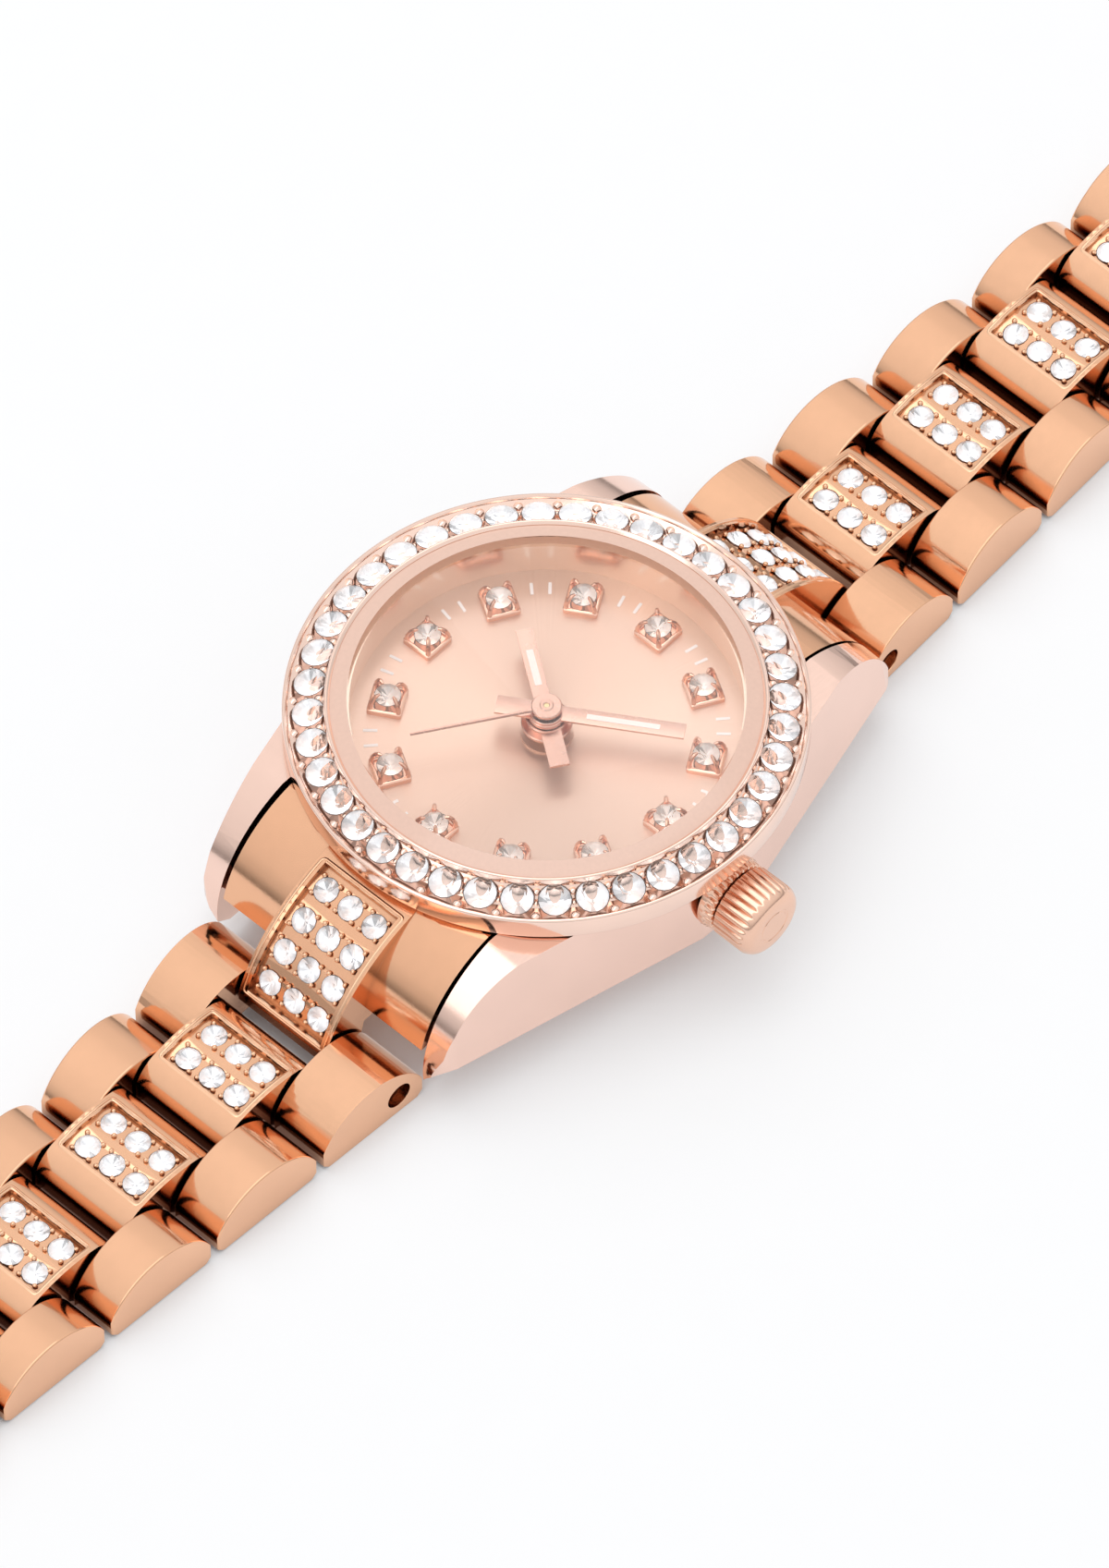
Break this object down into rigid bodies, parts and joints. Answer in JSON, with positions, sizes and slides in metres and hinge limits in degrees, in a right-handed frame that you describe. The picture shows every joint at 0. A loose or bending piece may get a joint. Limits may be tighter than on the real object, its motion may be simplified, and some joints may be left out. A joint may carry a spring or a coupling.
{
  "type": "wristwatch",
  "caption": "Ladies' quartz wristwatch with a round stone-set bezel, three hands, a pull-out crown and a tapered three-piece link bracelet set with stones, laid out flat.",
  "frame": {"origin": "centre of the case back's flat face, on the dial axis", "axes": "+Z out of the dial, +Y towards 12 o'clock along the bracelet, +X towards the crown"},
  "size_m": [0.0325, 0.1793, 0.0119],
  "materials": {
    "rose_gold_case": "polished rose-gold plating on steel",
    "rose_gold_bracelet": "mirror-polished rose-gold plating on steel",
    "rose_gold_dial_parts": "polished rose-gold plating",
    "dial": "sunray brushed rose metallic",
    "stones": "faceted clear crystal",
    "crystal": "clear flat mineral glass",
    "steel": "turned steel",
    "movement_brass": "satin brass",
    "coil": "enamelled copper winding",
    "spacer": "white moulded nylon",
    "gasket": "black rubber"
  },
  "bodies": {
    "case": {"case_middle": "rose_gold_case", "case_back": "rose_gold_case", "back_gasket": "gasket", "bezel": "rose_gold_case", "bezel_stones": "stones", "crystal": "crystal", "rehaut_ring": "rose_gold_case", "dial": "dial", "hour_settings": "rose_gold_dial_parts", "hour_stones": "stones", "movement_ring": "spacer", "mainplate": "movement_brass", "train_bridge": "steel", "coil": "coil", "battery": "steel", "crown_tube": "steel", "end_link_12": "rose_gold_bracelet", "end_link_6": "rose_gold_bracelet", "end_link_stones": "stones", "spring_bars": "steel"},
    "seconds": {"seconds_hand": "rose_gold_dial_parts", "seconds_wheel": "movement_brass"},
    "minutes": {"minute_hand": "rose_gold_dial_parts", "cannon_pinion": "movement_brass"},
    "hours": {"hour_hand": "rose_gold_dial_parts", "hour_wheel": "movement_brass"},
    "intermediate": {"intermediate_wheel": "movement_brass"},
    "motion": {"motion_wheel": "movement_brass"},
    "rotor": {"rotor": "steel"},
    "setting_lever": {"setting_lever": "steel"},
    "crown": {"crown": "rose_gold_case", "stem": "steel"},
    "row_6_1": {"outer_links_6_1": "rose_gold_bracelet", "centre_link_6_1": "rose_gold_bracelet"},
    "row_6_2": {"outer_links_6_2": "rose_gold_bracelet", "centre_link_6_2": "rose_gold_bracelet"},
    "row_6_3": {"outer_links_6_3": "rose_gold_bracelet", "centre_link_6_3": "rose_gold_bracelet"},
    "row_6_4": {"outer_links_6_4": "rose_gold_bracelet", "centre_link_6_4": "rose_gold_bracelet"},
    "row_6_5": {"outer_links_6_5": "rose_gold_bracelet", "centre_link_6_5": "rose_gold_bracelet"},
    "row_6_6": {"outer_links_6_6": "rose_gold_bracelet", "centre_link_6_6": "rose_gold_bracelet"},
    "row_12_1": {"outer_links_12_1": "rose_gold_bracelet", "centre_link_12_1": "rose_gold_bracelet"},
    "row_12_2": {"outer_links_12_2": "rose_gold_bracelet", "centre_link_12_2": "rose_gold_bracelet"},
    "row_12_3": {"outer_links_12_3": "rose_gold_bracelet", "centre_link_12_3": "rose_gold_bracelet"},
    "row_12_4": {"outer_links_12_4": "rose_gold_bracelet", "centre_link_12_4": "rose_gold_bracelet"},
    "row_12_5": {"outer_links_12_5": "rose_gold_bracelet", "centre_link_12_5": "rose_gold_bracelet"},
    "row_12_6": {"outer_links_12_6": "rose_gold_bracelet", "centre_link_12_6": "rose_gold_bracelet"},
    "clasp": {"clasp_base": "rose_gold_bracelet", "clasp_pins": "steel"},
    "clasp_cover": {"clasp_cover": "rose_gold_bracelet"},
    "catch": {"catch_link": "rose_gold_bracelet"}
  },
  "joints": [
    {"name": "seconds_turn", "type": "hinge", "parent": "case", "child": "seconds", "pos_m": [0, 0, 0.0104], "axis": [0, 0, -1], "continuous": true},
    {"name": "minutes_turn", "type": "hinge", "parent": "case", "child": "minutes", "pos_m": [0, 0, 0.00995], "axis": [0, 0, -1], "continuous": true},
    {"name": "hours_turn", "type": "hinge", "parent": "case", "child": "hours", "pos_m": [0, 0, 0.0095], "axis": [0, 0, -1], "continuous": true},
    {"name": "intermediate_turn", "type": "hinge", "parent": "case", "child": "intermediate", "pos_m": [-0.00164, -0.0006, 0.0055], "axis": [0, 0, -1], "continuous": true},
    {"name": "rotor_turn", "type": "hinge", "parent": "case", "child": "rotor", "pos_m": [-0.00322, -0.00117, 0.0055], "axis": [0, 0, -1], "continuous": true},
    {"name": "motion_turn", "type": "hinge", "parent": "case", "child": "motion", "pos_m": [-0.0016, 0.0016, 0.0072], "axis": [0, 0, -1], "continuous": true},
    {"name": "crown_pull", "type": "slide", "parent": "case", "child": "setting_lever", "axis": [1, 0, 0], "range_m": [0, 0.001]},
    {"name": "crown_turn", "type": "hinge", "parent": "setting_lever", "child": "crown", "pos_m": [0.016, 0, 0.0062], "axis": [1, 0, 0], "continuous": true},
    {"name": "row_6_1_fold", "type": "hinge", "parent": "case", "child": "row_6_1", "pos_m": [0, -0.02049, 0.0015], "axis": [1, 0, 0], "range_deg": [-8, 24]},
    {"name": "row_6_2_fold", "type": "hinge", "parent": "row_6_1", "child": "row_6_2", "pos_m": [0, -0.02864, 0.0015], "axis": [1, 0, 0], "range_deg": [-8, 24]},
    {"name": "row_6_3_fold", "type": "hinge", "parent": "row_6_2", "child": "row_6_3", "pos_m": [0, -0.03679, 0.0015], "axis": [1, 0, 0], "range_deg": [-8, 24]},
    {"name": "row_6_4_fold", "type": "hinge", "parent": "row_6_3", "child": "row_6_4", "pos_m": [0, -0.04494, 0.0015], "axis": [1, 0, 0], "range_deg": [-8, 24]},
    {"name": "row_6_5_fold", "type": "hinge", "parent": "row_6_4", "child": "row_6_5", "pos_m": [0, -0.05309, 0.0015], "axis": [1, 0, 0], "range_deg": [-8, 24]},
    {"name": "row_6_6_fold", "type": "hinge", "parent": "row_6_5", "child": "row_6_6", "pos_m": [0, -0.06124, 0.0015], "axis": [1, 0, 0], "range_deg": [-8, 24]},
    {"name": "row_12_1_fold", "type": "hinge", "parent": "case", "child": "row_12_1", "pos_m": [0, 0.02049, 0.0015], "axis": [-1, 0, 0], "range_deg": [-8, 24]},
    {"name": "row_12_2_fold", "type": "hinge", "parent": "row_12_1", "child": "row_12_2", "pos_m": [0, 0.02864, 0.0015], "axis": [-1, 0, 0], "range_deg": [-8, 24]},
    {"name": "row_12_3_fold", "type": "hinge", "parent": "row_12_2", "child": "row_12_3", "pos_m": [0, 0.03679, 0.0015], "axis": [-1, 0, 0], "range_deg": [-8, 24]},
    {"name": "row_12_4_fold", "type": "hinge", "parent": "row_12_3", "child": "row_12_4", "pos_m": [0, 0.04494, 0.0015], "axis": [-1, 0, 0], "range_deg": [-8, 24]},
    {"name": "row_12_5_fold", "type": "hinge", "parent": "row_12_4", "child": "row_12_5", "pos_m": [0, 0.05309, 0.0015], "axis": [-1, 0, 0], "range_deg": [-8, 24]},
    {"name": "row_12_6_fold", "type": "hinge", "parent": "row_12_5", "child": "row_12_6", "pos_m": [0, 0.06124, 0.0015], "axis": [-1, 0, 0], "range_deg": [-8, 24]},
    {"name": "clasp_fold", "type": "hinge", "parent": "row_6_6", "child": "clasp", "pos_m": [0, -0.06939, 0.0015], "axis": [1, 0, 0], "range_deg": [-8, 24]},
    {"name": "cover_open", "type": "hinge", "parent": "clasp", "child": "clasp_cover", "pos_m": [0, -0.09742, 0.0017], "axis": [1, 0, 0], "range_deg": [0, 150]},
    {"name": "catch_fold", "type": "hinge", "parent": "row_12_6", "child": "catch", "pos_m": [0, 0.06939, 0.0015], "axis": [-1, 0, 0], "range_deg": [-8, 24]}
  ],
  "couplings": [
    {"joint": "minutes_turn", "follows": "seconds_turn", "ratio": 0.016667},
    {"joint": "hours_turn", "follows": "seconds_turn", "ratio": 0.0013889},
    {"joint": "motion_turn", "follows": "seconds_turn", "ratio": -0.0066667},
    {"joint": "intermediate_turn", "follows": "seconds_turn", "ratio": -5},
    {"joint": "rotor_turn", "follows": "seconds_turn", "ratio": 30}
  ]
}
